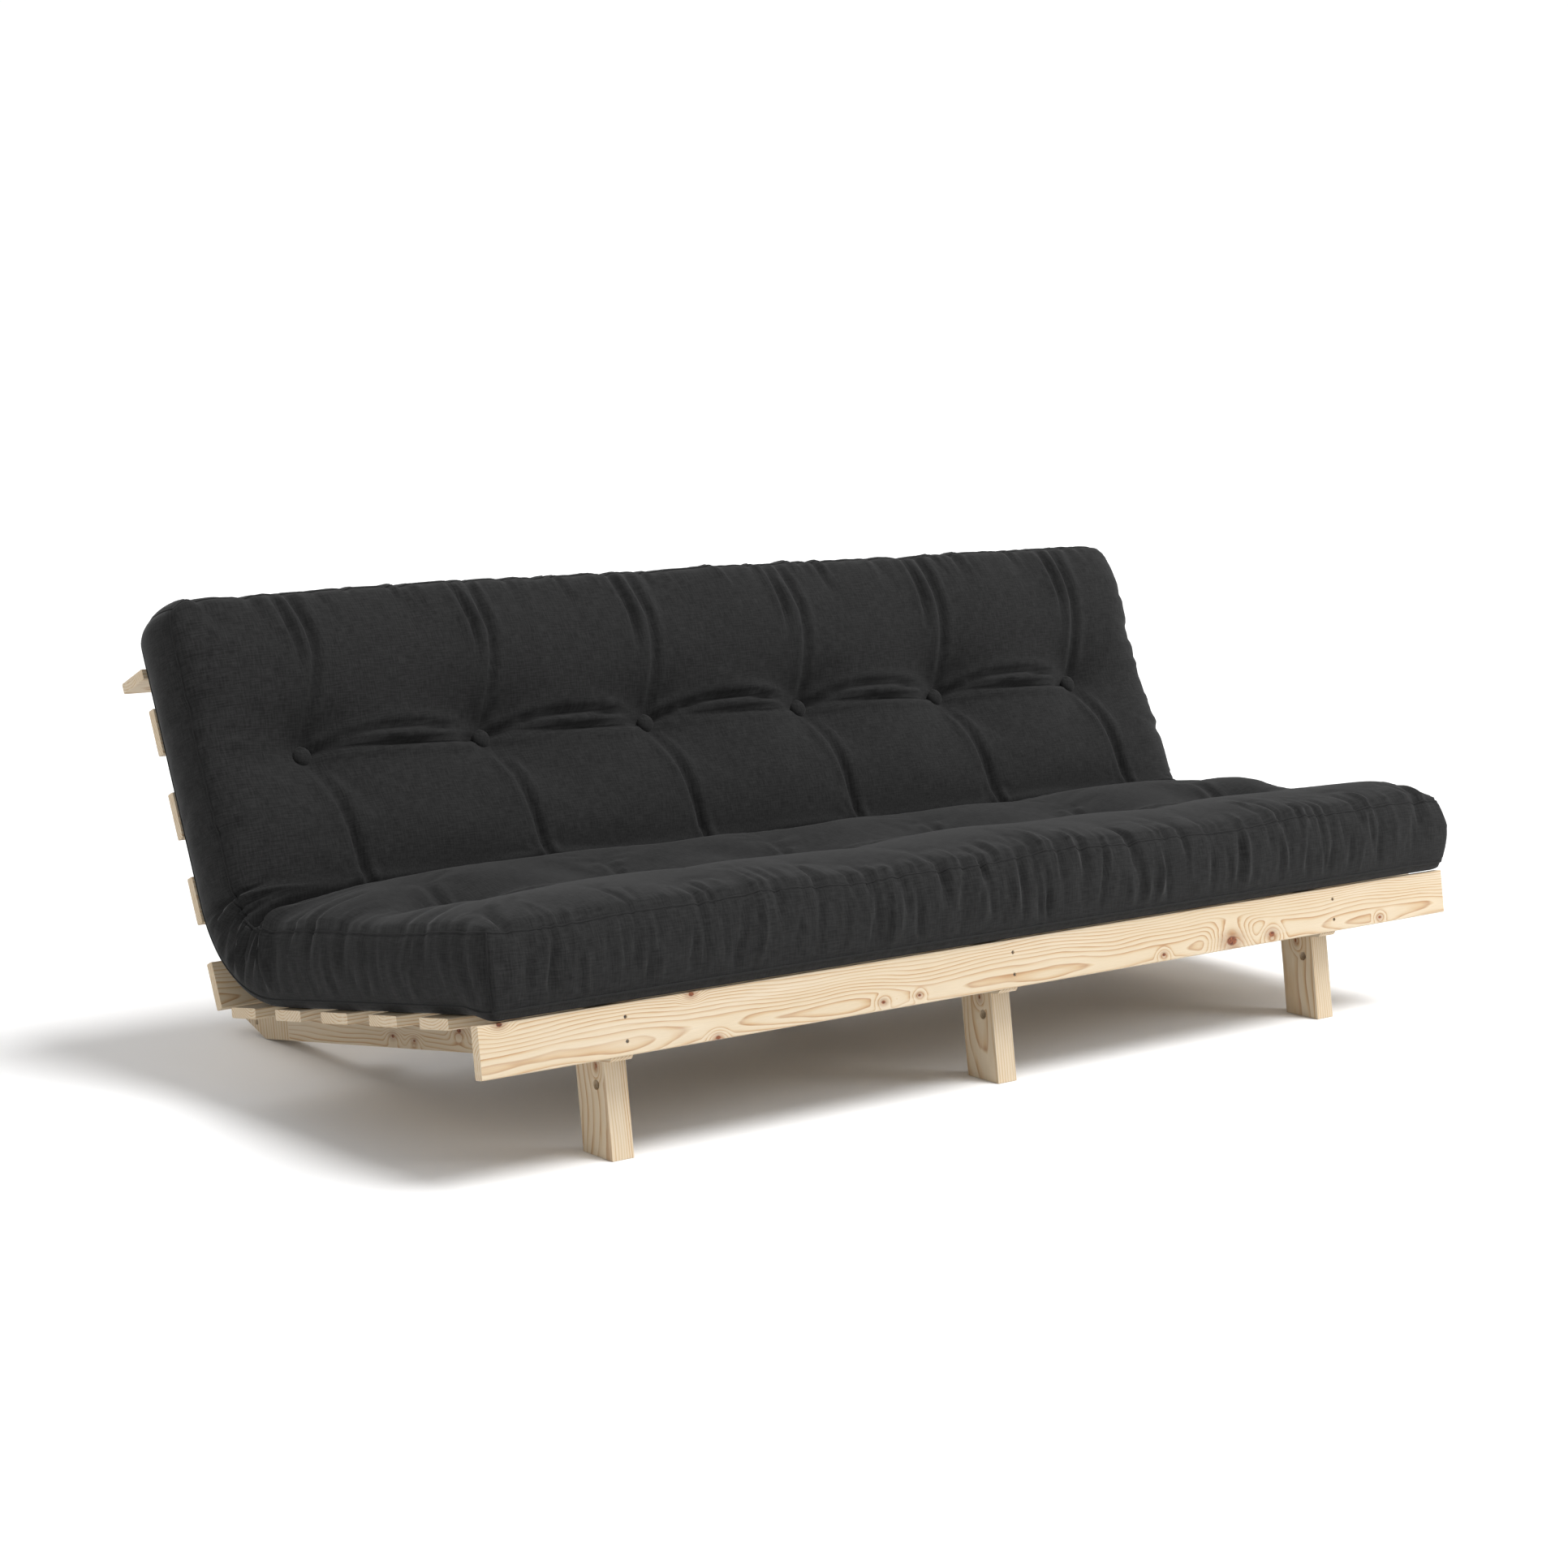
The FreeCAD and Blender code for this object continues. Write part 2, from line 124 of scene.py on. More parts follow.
def pine(name, centre, along, across, pith, tilt, knots=(), spacing=4.2, seed=0.0):
    """Planed Scots pine, unfinished: pale cream earlywood, thin tan latewood lines, reddish knots.
    The board is sawn from a log whose pith lies off its face, so wide faces show flame arcs, edges
    show straight lines and ends show ring arcs. Lengths in mm; knots are (along, across, radius)."""
    made, tree = new_material(name)
    through = along.cross(across)
    point = add(tree, "ShaderNodeTexCoord", out="Object")
    offset = add(tree, "ShaderNodeVectorMath", {0: point, 1: tuple(-c for c in centre)}, operation="ADD")
    axes = [add(tree, "ShaderNodeVectorMath", {0: offset, 1: tuple(axis / MM)}, "Value",
                operation="DOT_PRODUCT") for axis in (along, across, through)]
    local = add(tree, "ShaderNodeCombineXYZ", {0: axes[0], 1: axes[1], 2: axes[2]})

    # name: (mm across the grain, mm along it, detail)
    waves = {"sway": (85.0, 290.0, 1.0), "wobble": (22.0, 130.0, 2.0), "tone": (50.0, 260.0, 2.0),
             "fibre": (0.9, 26.0, 3.0), "heart": (3.0, 3.0, 2.0), "shade": (9.0, 190.0, 2.0)}
    noise = {}
    for number, (use, (wide, long, detail)) in enumerate(waves.items()):
        squeezed = add(tree, "ShaderNodeMapping", {"Vector": local, "Location": (0, 0, seed + 3.7 * number),
                                                   "Scale": (1 / long, 1 / wide, 1 / wide)})
        noise[use] = add(tree, "ShaderNodeTexNoise", {"Vector": squeezed, "Scale": 1.0, "Detail": detail,
                                                      "Roughness": 0.5}, "Fac")

    sway = add(tree, "ShaderNodeMath", {0: noise["sway"], 1: 34.0, 2: -17.0}, operation="MULTIPLY_ADD")
    sway = add(tree, "ShaderNodeMath", {0: noise["wobble"], 1: 4.0, 2: sway}, operation="MULTIPLY_ADD")
    sway = add(tree, "ShaderNodeMath", {0: axes[0], 1: tilt, 2: sway}, operation="MULTIPLY_ADD")
    from_pith = add(tree, "ShaderNodeCombineXYZ", {
        0: add(tree, "ShaderNodeMath", {0: axes[1], 1: pith[0]}, operation="SUBTRACT"),
        1: add(tree, "ShaderNodeMath", {0: axes[2], 1: pith[1]}, operation="SUBTRACT")})
    radius = add(tree, "ShaderNodeVectorMath", {0: from_pith}, "Value", operation="LENGTH")
    radius = add(tree, "ShaderNodeMath", {0: radius, 1: sway}, operation="ADD")

    knot_mask = None
    for k_along, k_across, k_radius in knots:
        gap = add(tree, "ShaderNodeVectorMath", {0: local, 1: (-k_along, -k_across, 0)}, operation="ADD")
        flat = add(tree, "ShaderNodeVectorMath", {0: gap, 1: (0.62, 1.0, 0.12)}, operation="MULTIPLY")
        distance = add(tree, "ShaderNodeVectorMath", {0: flat}, "Value", operation="LENGTH")
        swell = add(tree, "ShaderNodeMapRange", {0: distance, 1: 0.0, 2: k_radius * 6, 3: k_radius * 3.2,
                                                 4: 0.0}, interpolation_type="SMOOTHERSTEP")
        radius = add(tree, "ShaderNodeMath", {0: radius, 1: swell}, operation="ADD")
        core = add(tree, "ShaderNodeMapRange", {0: distance, 1: k_radius * 0.6, 2: k_radius * 1.2, 3: 1.0,
                                                4: 0.0}, interpolation_type="SMOOTHSTEP")
        halo = add(tree, "ShaderNodeMapRange", {0: distance, 1: k_radius, 2: k_radius * 3.0, 3: 0.35,
                                                4: 0.0}, interpolation_type="SMOOTHSTEP")
        spot = add(tree, "ShaderNodeMath", {0: core, 1: halo}, operation="MAXIMUM")
        knot_mask = spot if knot_mask is None else add(tree, "ShaderNodeMath", {0: knot_mask, 1: spot},
                                                       operation="MAXIMUM")

    ring = add(tree, "ShaderNodeMath", {0: radius, 1: spacing}, operation="DIVIDE")
    ring = add(tree, "ShaderNodeMath", {0: ring}, operation="FRACT")
    late = add(tree, "ShaderNodeValToRGB", {"Fac": ring}, "Color", PINE_RINGS)
    pale = add(tree, "ShaderNodeValToRGB", {"Fac": noise["tone"]}, "Color", PINE_TONES)
    strength = add(tree, "ShaderNodeMapRange", {0: noise["shade"], 1: 0.35, 2: 0.65, 3: 0.45, 4: 1.0})
    wood = add(tree, "ShaderNodeMix", {0: strength, 6: pale, 7: late}, 2, data_type="RGBA")
    wood = add(tree, "ShaderNodeMix", {0: 0.15, 6: wood, 7: pale}, 2, data_type="RGBA")
    streak = add(tree, "ShaderNodeMapRange", {0: noise["fibre"], 1: 0.25, 2: 0.75, 3: 0.94, 4: 1.04})
    wood = add(tree, "ShaderNodeVectorMath", {0: wood, 3: streak}, operation="SCALE")
    if knot_mask is not None:
        heart = add(tree, "ShaderNodeValToRGB", {"Fac": noise["heart"]}, "Color", PINE_KNOTS)
        wood = add(tree, "ShaderNodeMix", {0: knot_mask, 6: wood, 7: heart}, 2, data_type="RGBA")
    rough = add(tree, "ShaderNodeMapRange", {0: noise["fibre"], 1: 0.2, 2: 0.8, 3: 0.52, 4: 0.66})
    height = add(tree, "ShaderNodeMath", {0: ring, 1: 0.25, 2: noise["fibre"]}, operation="MULTIPLY_ADD")
    bump = add(tree, "ShaderNodeBump", {"Height": height, "Strength": 0.25, "Distance": 0.4 * MM})
    surface = add(tree, "ShaderNodeBsdfPrincipled", {
        "Base Color": wood, "Roughness": rough, "Normal": bump, "IOR": 1.5, "Specular IOR Level": 0.35})
    add(tree, "ShaderNodeOutputMaterial", {"Surface": surface})
    return made


def woven_cotton(name, base, light):
    """Plain-weave cotton drill, piece-dyed charcoal: matt, with a soft nap that lifts the grazing edges
    and faint slubs both ways. Its threads are 0.6 mm apart and drawn at 1.8 mm so that they show."""
    made, tree = new_material(name)
    cloth = add(tree, "ShaderNodeUVMap", uv_map="cloth")
    thread = 1.8 * MM
    wound = add(tree, "ShaderNodeVectorMath", {0: cloth, 3: 2 * math.pi / thread}, operation="SCALE")
    warp = add(tree, "ShaderNodeMath", {0: add(tree, "ShaderNodeSeparateXYZ", {0: wound}, 0)},
               operation="SINE")
    weft = add(tree, "ShaderNodeMath", {0: add(tree, "ShaderNodeSeparateXYZ", {0: wound}, 1)},
               operation="SINE")
    weave = add(tree, "ShaderNodeMath", {0: warp, 1: weft}, operation="MULTIPLY")

    # Thick and thin places along the threads, drawn three threads wide, and a faint mottle from the dye
    slubs = []
    for wide, long in ((2.0, 18.0), (18.0, 2.0), (30.0, 30.0)):
        squeezed = add(tree, "ShaderNodeMapping", {
            "Vector": cloth, "Scale": (1 / (wide * MM), 1 / (long * MM), 1)})
        slubs.append(add(tree, "ShaderNodeTexNoise", {
            "Vector": squeezed, "Scale": 1.0, "Detail": 2.0}, "Fac"))
    yarn = add(tree, "ShaderNodeMath", {0: slubs[0], 1: slubs[1]}, operation="ADD")
    mixed = add(tree, "ShaderNodeMath", {0: slubs[2], 1: 0.25, 2: yarn}, operation="MULTIPLY_ADD")
    shade = add(tree, "ShaderNodeValToRGB", {"Fac": add(tree, "ShaderNodeMapRange", {
        0: mixed, 1: 0.85, 2: 1.40})}, "Color", ((0.0, base), (1.0, light)))
    height = add(tree, "ShaderNodeMath", {0: weave, 1: 0.3, 2: yarn}, operation="MULTIPLY_ADD")
    bump = add(tree, "ShaderNodeBump", {"Height": height, "Strength": 0.35, "Distance": 0.5 * MM})
    surface = add(tree, "ShaderNodeBsdfPrincipled", {
        "Base Color": shade, "Normal": bump, "Roughness": 0.9, "Specular IOR Level": 0.2,
        "Sheen Weight": 0.24, "Sheen Roughness": 0.38, "Sheen Tint": linear("#9a9a9a")})
    add(tree, "ShaderNodeOutputMaterial", {"Surface": surface})
    return made


def plain(name, code, roughness, metallic=0.0, grit=1.1, depth=0.1):
    """Even finish with a fine surface grit. Grit size and depth in mm."""
    made, tree = new_material(name)
    point = add(tree, "ShaderNodeTexCoord", out="Object")
    speck = add(tree, "ShaderNodeTexNoise", {
        "Vector": point, "Scale": 1 / (grit * MM), "Detail": 2.0}, "Fac")
    varied = add(tree, "ShaderNodeMapRange", {0: speck, 3: roughness - 0.06, 4: roughness + 0.06})
    bump = add(tree, "ShaderNodeBump", {"Height": speck, "Strength": 0.2, "Distance": depth * MM})
    surface = add(tree, "ShaderNodeBsdfPrincipled", {
        "Base Color": linear(code), "Metallic": metallic, "Roughness": varied, "Normal": bump})
    add(tree, "ShaderNodeOutputMaterial", {"Surface": surface})
    return made


def dress(node, material):
    """Give a CAD node its finish."""
    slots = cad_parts[node].data.materials
    slots.clear()
    slots.append(material)


rng = np.random.default_rng(41)


def centre_of(node):
    """Middle of a CAD node's box, in metres: where its board's grain is measured from."""
    low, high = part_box(node)
    return tuple((a + b) / 2 for a, b in zip(low, high))


def board_pith(depth):
    """Pith position of a flat-sawn board: well off its face, a little off its middle."""
    return (float(rng.uniform(-22, 22)), depth * float(rng.uniform(0.8, 1.2)))


# Where the rail's knots lie: a reddish pair right of the middle, small ones low down, two on its top edge
RAIL_KNOTS = [(440.0, -22.0, 8.5), (531.0, -22.0, 5.0), (289.0, -25.0, 3.0), (-275.0, -23.0, 3.0),
              (-207.0, -22.0, 2.6), (-570.0, -32.0, 3.4), (-917.0, 33.0, 3.6), (-609.0, 32.0, 3.6),
              (789.0, -25.0, 3.0)]
dress("front_rail", pine("pine_planed_front_rail", centre_of("front_rail"), ALONG_SOFA, SEAT_UPWARD,
                         (-20.0, 27.0), 0.008, RAIL_KNOTS, 4.1, 2.0))
dress("top_board", pine("pine_planed_top_board", centre_of("top_board"), ALONG_SOFA, BACK_REARWARD,
                        (8.0, 44.0), -0.01, [(-500.0, 14.0, 5.0), (420.0, -12.0, 4.0)], 4.4, 21.0))

# Slats differ by their seeds: (name, how many, direction across them, first seed, step of seed)
for kind, count, across, first_seed, seed_step in (("seat_slat_%d", 5, SEAT_BACKWARD, 0.0, 31.0),
                                                   ("back_slat_%d", 4, BACK_UPWARD, 5.0, 17.0)):
    for index in range(1, count + 1):
        slat = kind % index
        knots = [(float(rng.uniform(-850, 850)), float(rng.uniform(-25, 25)), float(rng.uniform(3, 6)))
                 for _ in range(3)]
        dress(slat, pine("pine_planed_" + slat, centre_of(slat), ALONG_SOFA, across,
                         board_pith(46.0), 0.01, knots, 4.3, seed_step * index + first_seed))

BEAM_KNOTS = [(120.0, -18.0, 4.0), (62.0, -23.0, 3.5), (-60.0, -4.0, 5.0)]
for index, side in enumerate(SIDES):
    dress("beam_" + side, pine("pine_planed_beam_" + side, centre_of("beam_" + side), SEAT_BACKWARD,
                               SEAT_UPWARD, (6.0 - 9 * index, -34.0), 0.03, BEAM_KNOTS, 5.2, 3.0 + index))
    dress("beam_heel_" + side, pine("pine_planed_heel_" + side, centre_of("beam_heel_" + side), SEAT_UPWARD,
                                    SEAT_BACKWARD, (90.0, 10.0), 0.02, (), 8.5, 9.0 + index))
    dress("front_leg_" + side, pine("pine_planed_leg_" + side, centre_of("front_leg_" + side), SEAT_UPWARD,
                                    SEAT_BACKWARD, (-12.0 + 10 * index, 72.0 + 8 * index), 0.015,
                                    [(22.0, -14.0 + 8 * index, 3.5)], 4.8, 13.0 + index))
    dress("upright_" + side, pine("pine_planed_upright_" + side, centre_of("upright_" + side),
                                  BACK_UPWARD, BACK_REARWARD, (10.0, 40.0), 0.012, [(60.0, 5.0, 6.0)],
                                  4.8, 19.0 + index))

# Beech turned to dowels: a darker, warmer tan than the pine round it, hardly shiny
dress("heel_dowels", plain("beech_turned_dowel", "#c79f6d", 0.6))

# Steel plated with zinc: small grey heads with a soft, slightly uneven shine
zinc = plain("steel_zinc_plated", "#9c9ca0", 0.38, 1.0)
for node in ("rail_screws", "seat_slat_screws", "leg_screws", "back_slat_screws", "top_board_screws",
             "hinge_inserts", "hinge_washers"):
    dress(node, zinc)

# Nylon moulded over the bolt heads as hand knobs: near black, satin, with a fine moulded grain
dress("hinge_bolts", plain("nylon_moulded_black", "#1b1b1c", 0.5, 0.0, 1.4))

charcoal = woven_cotton("cotton_drill_charcoal", "#121212", "#242424")

# Dark cord along each sewn seam: painted shade for the groove the seam sinks into, a matt line darker than
# the cloth beside it
seam_shade_cord = plain("cotton_seam_shadow", "#0b0b0b", 0.95)

# ---------------------------------------------------------------- mattress
# Laid flat, in mm: x along the sofa, q from the seat's front edge to the back's top edge, w up from
# the slats. Seams, corner radii and bulges first, then the bend, then the rows of buttons.
HALF_LENGTH = 930.0
LOW_SEAM = 13.0
HIGH_SEAM = 110.0
CROWN = 33.0
SEAM_BULGE = 7.0
BORDER_BULGE = 15.0
EDGE_ROLL = 70.0
FRONT_CORNER = 8.0
TOP_CORNER = 36.0
TOP_DROOP = 5.0
SEAM_PINCH = 2.6
FRONT_DROOP = 7.0
BOTTOM_LIFT = 0.6
FRONT_U = -3.0
BEND_RADIUS = 200.0
TANGENT = BEND_RADIUS * math.tan(BACK_OPENING / 2)
SEAT_RUN = FOLD_LINE_U - TANGENT - FRONT_U
BEND_RUN = BEND_RADIUS * BACK_OPENING
BACK_TOP = 582.0
TOTAL_RUN = SEAT_RUN + BEND_RUN + BACK_TOP - TANGENT
CREASE_Q = SEAT_RUN + BEND_RUN / 2 - 22.0
BUTTON_PITCH = 312.0
BUTTON_X = (np.arange(6) - 2.5) * BUTTON_PITCH - 12.0
BACK_ROW = SEAT_RUN + BEND_RUN + 334.0 - TANGENT
SEAT_ROW = 285.0 - FRONT_U


def fold(x, q, w):
    """Flat mattress coordinates to the frame, round the bend between seat and back."""
    seat_u, seat_v = FRONT_U + q, SLAT_TOP + BOTTOM_LIFT + w
    turn = np.clip((q - SEAT_RUN) / BEND_RADIUS, 0, BACK_OPENING)
    reach = BEND_RADIUS - BOTTOM_LIFT - w
    past = np.maximum(q - SEAT_RUN - BEND_RUN, 0)
    bend_u = FRONT_U + SEAT_RUN + reach * np.sin(turn) + past * math.cos(BACK_OPENING)
    bend_v = SLAT_TOP + BEND_RADIUS - reach * np.cos(turn) + past * math.sin(BACK_OPENING)
    on_seat = q < SEAT_RUN
    return place(x + drift(x, q), np.where(on_seat, seat_u, bend_u), np.where(on_seat, seat_v, bend_v))


def drift(x, q):
    """The mattress lies 4 mm right of the frame's middle and spreads at its ends."""
    spread = np.clip(q / SEAT_RUN, 0, 1.3) * smooth((-x - 800) / 130)
    return 4.0 - 17.0 * spread + 12.0 * smooth((x - 780) / 150)


def bell(value, centre, width):
    """1 at the centre, falling to 0.37 at one width from it."""
    return np.exp(-((value - centre) / width) ** 2)


def rounded(distance, reach):
    """Quarter-round rise from 0 at a sewn edge to 1 at reach."""
    return np.sqrt(1 - np.clip(1 - distance / reach, 0, 1) ** 2)


def smooth(value):
    """0 to 1 with soft ends."""
    value = np.clip(value, 0, 1)
    return value * value * (3 - 2 * value)


def crease(off, width):
    """Sharp valley along a line with a soft roll on each side of it."""
    roll = 0.55 * bell(np.abs(off), 2.0 * width, 1.2 * width)
    return roll - np.exp(-np.abs(off / width) ** 1.4)


def gathers(seed, count, span, width, depth):
    """Random rucks across a sewn edge: (place, half width, height, middle, half length, slant)."""
    draw = np.random.default_rng(seed)
    return [(draw.uniform(*span), draw.uniform(*width), draw.uniform(-depth, 0.75 * depth),
             draw.uniform(-78, 30), draw.uniform(20, 52), draw.uniform(-0.22, 0.22)) for _ in range(count)]


def rucks(position, height, folds):
    """How far the rucks stand out at a place along an edge and a height from its upper seam."""
    total = np.zeros(len(position))
    for start, half, strength, middle, reach, slant in folds:
        near = np.nonzero(np.abs(position - start) < 4 * half + 40)[0]
        line = start + slant * (height[near] - middle) + 3.0 * np.sin((height[near] - middle) / 26.0)
        total[near] += strength * bell(position[near], line, half) * bell(height[near], middle, reach)
    return total


FRONT_FOLDS = gathers(5, 300, (-930, 930), (3.6, 7.0), 5.6)
TOP_FOLDS = gathers(6, 220, (-930, 930), (4.0, 8.0), 4.0)
SIDE_FOLDS = gathers(7, 120, (0, TOTAL_RUN), (5.0, 10.0), 3.6)
BEND_FOLDS = gathers(8, 60, (CREASE_Q - 120, CREASE_Q + 120), (5.0, 9.0), 11.0)


def top_height(x, q):
    """Height of the mattress's upper face above its seam, in mm."""
    flank = rounded(HALF_LENGTH - np.abs(x), np.where(x > 0, 64.0, 95.0))
    edge = np.minimum(rounded(q, 95.0), rounded(TOTAL_RUN - q, 85.0)) * flank
    puff = 14.0 * bell(q, 395, 75) - 4.0 * bell(q, 110, 90)
    puff = puff + 14.0 * bell(q, CREASE_Q - 78, 48) + 3.0 * bell(q, CREASE_Q + 90, 50)
    puff = puff + 7.0 * bell(q, BACK_ROW - 105, 70) + 8.0 * bell(q, BACK_ROW + 125, 75)
    puff = puff + 3.0 * np.sin(x / 173.0 + 1.0) * np.sin(q / 120.0) + 1.6 * np.sin(x / 71.0 + q / 93.0)
    right_end = smooth((x - 780) / 90)
    puff = puff + 12.0 * bell(q, SEAT_ROW + 30, 80) * right_end
    puff = puff + (4.0 * bell(q, 75, 40) - 5.0 * bell(q, 165, 45)) * right_end
    height = (CROWN + puff) * edge
    height = height - 62.0 * bell(q, CREASE_Q + 6 * np.sin(x / 140.0), 30) * edge

    # Tufts: each button pulls a round hollow, and the row between them sinks
    pillow = 1 - 0.35 * np.cos(2 * np.pi * x / BUTTON_PITCH)
    for row, depth, sink in ((BACK_ROW, 29.0, 9.0), (SEAT_ROW, 32.0, 15.0)):
        for bx in BUTTON_X:
            gap = np.hypot(x - bx, (q - row) * 1.05)
            height = height - depth * np.exp(-(gap / 42.0) ** 1.35)
        height = height - sink * pillow * bell(q, row, 52) * edge

    # Taut lines from button to button: one bowed up and one straight below it
    for row, bow, pull in ((BACK_ROW, 24.0, 13.0), (SEAT_ROW, -14.0, 10.0)):
        for number, bx in enumerate(BUTTON_X[:-1]):
            share = (x - bx) / BUTTON_PITCH
            ends = smooth(share / 0.10) * smooth((1 - share) / 0.10)
            lean = 0.5 + 0.5 * math.sin(number * 1.9 + 1.2)
            arc = row + bow * np.sin(np.pi * np.clip(share, 0, 1)) ** 0.8
            bowed = (1.0 - 0.35 * lean) * crease(q - arc, 5.5) * smooth((1.02 - share) / 0.3)
            height = height + pull * bowed * ends
            flat = row + 3.0 * np.sin(2 * np.pi * np.clip(share, 0, 1))
            height = height + pull * (0.55 + 0.45 * lean) * crease(q - flat, 5.0) * ends

    # Rolls that run from each back button up to the top edge and down to the seat
    for number, bx in enumerate(BUTTON_X):
        above = np.clip((q - BACK_ROW) / (TOTAL_RUN - BACK_ROW), 0, 1)
        sway = 14.0 * np.sin(np.pi * above + 0.5 * number)
        up_line = bx + 30.0 * smooth(above / 0.7) + sway * 0.4
        up_fade = np.where(q > BACK_ROW, smooth(above / 0.12) * (0.45 + 0.55 * above), 0)
        height = height + 8.5 * crease(x - up_line, 7.0) * up_fade * edge
        twin = up_line - 30.0 + 16.0 * (1 - above) * math.cos(number)
        twin_fade = np.where(q > BACK_ROW, smooth((above - 0.35) / 0.4), 0)
        height = height + 8.0 * crease(x - twin, 6.0) * twin_fade * edge
        below = np.clip((BACK_ROW - q) / (BACK_ROW - CREASE_Q), 0, 1)
        down_line = bx + 40.0 * (1 - np.exp(-3.2 * below)) + 4.0 * math.sin(number * 2.3)
        between = (q < BACK_ROW) & (q > CREASE_Q)
        down_fade = np.where(between, smooth(below / 0.15) * (0.55 + 0.45 * below), 0)
        height = height + 10.5 * crease(x - down_line, 8.0 - 2.5 * below) * down_fade * edge
        behind = np.clip(np.abs(q - SEAT_ROW) / 130.0, 0, 1)
        seat_line = bx + np.sign(q - SEAT_ROW) * 24.0 * behind
        height = height + 11.0 * crease(x - seat_line, 8.0) * (1 - behind) * smooth(behind / 0.1) * edge
    return height


# Gaps between slats: (middle of one gap, pitch, half width), along the seat and up the back
SEAT_GAPS = (166.9, 126.8, 28.4)
BACK_GAPS = (97.0, 129.0, 29.5)
SLAT_SAG = 4.5


def in_gap(place_along, gaps):
    """1 at the middle of a gap between slats, 0 over a slat."""
    first, pitch, half = gaps
    phase = (place_along - first + pitch / 2) % pitch - pitch / 2
    return np.cos(np.clip(np.abs(phase) / half, 0, 1) * np.pi / 2)


def slat_sag(q):
    """How far the underside hangs into the gaps between slats."""
    s = q - SEAT_RUN - BEND_RUN + TANGENT
    seat_gap = np.where((q > 150) & (q < SEAT_RUN + 40), in_gap(FRONT_U + q, SEAT_GAPS), 0)
    back_gap = np.where(s > 60, in_gap(s, BACK_GAPS), 0)
    return SLAT_SAG * (seat_gap + back_gap) ** 2


def mattress_points(x, q, w, on_top, on_bottom):
    """Points of the made-up mattress for lattice points of its box."""
    gap_x = HALF_LENGTH - np.abs(x)
    gap_q = np.minimum(q, TOTAL_RUN - q)
    side_x = np.sign(x)
    side_q = np.where(q < TOTAL_RUN / 2, -1.0, 1.0)

    # Rounded plan corners
    size = np.where(side_q < 0, FRONT_CORNER, TOP_CORNER)
    a = np.clip(1 - gap_x / size, 0, 1)
    b = np.clip(1 - gap_q / size, 0, 1)
    x_plan = x + side_x * size * a * (np.sqrt(1 - b ** 2 / 2) - 1)
    q_plan = q + side_q * size * b * (np.sqrt(1 - a ** 2 / 2) - 1)
    q_plan = q_plan - TOP_DROOP * smooth((-x - 450) / 480) * np.clip(1 - (TOTAL_RUN - q) / 300, 0, 1)

    # The border bows out between its seams, and the faces roll over to meet it
    toward_x = np.clip(1 - gap_x / EDGE_ROLL, 0, 1) ** 2
    toward_q = np.clip(1 - gap_q / EDGE_ROLL, 0, 1) ** 2
    scale = np.maximum(1, np.hypot(toward_x, toward_q))
    out_x, out_q = side_x * toward_x / scale, side_q * toward_q / scale
    rise = np.clip((w - LOW_SEAM) / (HIGH_SEAM - LOW_SEAM), 0, 1)
    bow = SEAM_BULGE + (BORDER_BULGE - SEAM_BULGE) * np.sin(np.pi * rise)
    bow = bow + np.where(x > 0, 5.0 * toward_x, 0) * np.sin(np.pi * rise)
    bow = np.where(on_bottom, SEAM_BULGE - 3.0, bow)
    at_seam = ((w > HIGH_SEAM - 0.1) | (w < LOW_SEAM + 0.1)) & (np.minimum(gap_x, gap_q) < 0.1)
    bow = bow - SEAM_PINCH * (at_seam | (np.maximum(gap_x, gap_q) < 0.1))

    # Rucks stand square to the surface, which turns from upright to level across the seam
    drop = w - HIGH_SEAM
    height_q = np.where(on_top, gap_q, drop)
    height_x = np.where(on_top, gap_x, drop)
    ruck_q = np.where(side_q < 0, rucks(x, height_q, FRONT_FOLDS), rucks(x, height_q, TOP_FOLDS))
    ruck_q = np.where(on_bottom | ((gap_q > 0) & ~on_top), 0, ruck_q) * smooth(gap_x / 30.0)
    ruck_x = rucks(q, height_x, SIDE_FOLDS) + rucks(q + 20 * (x > 0), height_x, BEND_FOLDS)
    ruck_x = np.where(on_bottom | ((gap_x > 0) & ~on_top), 0, ruck_x) * smooth(gap_q / 30.0)
    ruck_q, ruck_x = ruck_q * smooth(rise / 0.25), ruck_x * smooth(rise / 0.25)
    tilt_q = 0.5 * np.pi * smooth((height_q + 25) / 60)
    tilt_x = 0.5 * np.pi * smooth((height_x + 25) / 60)

    lift = np.where(on_top, top_height(x, q), 0.0)
    lift = lift + ruck_q * np.sin(tilt_q) + ruck_x * np.sin(tilt_x)
    wave = 2.6 * np.sin(x / 96.0 + 0.7) + 1.8 * np.sin(x / 41.0) + 2.2 * np.sin(q / 61.0 + 1.1)
    lift = lift + wave * rise - 0.6 * SEAM_PINCH * (at_seam & (rise > 0.5))
    inward = np.minimum(gap_x, gap_q)
    under = -LOW_SEAM * rounded(inward, 16.0) - slat_sag(q) * smooth((inward - 10) / 40)
    lift = np.where(on_bottom, under, lift)
    lift = lift - FRONT_DROOP * smooth((62 - q) / 45) * (1 - 0.8 * np.where(on_bottom, 0, rise))
    push_x = out_x * bow + side_x * ruck_x * np.cos(tilt_x)
    push_q = out_q * bow + side_q * ruck_q * np.cos(tilt_q)
    return fold(x_plan + push_x, q_plan + push_q, w + lift)


# Cover simulation: spare length as a share, and how far a point may move in mm, less beside the fold
CLOTH_FRAMES = 17
CLOTH_QUALITY = 5
SPARE_LENGTH = 0.06
AIR_PRESSURE = 4.0
MOVE_CAP = 16.0
MOVE_CAP_LOST_IN_FOLD = 10.0


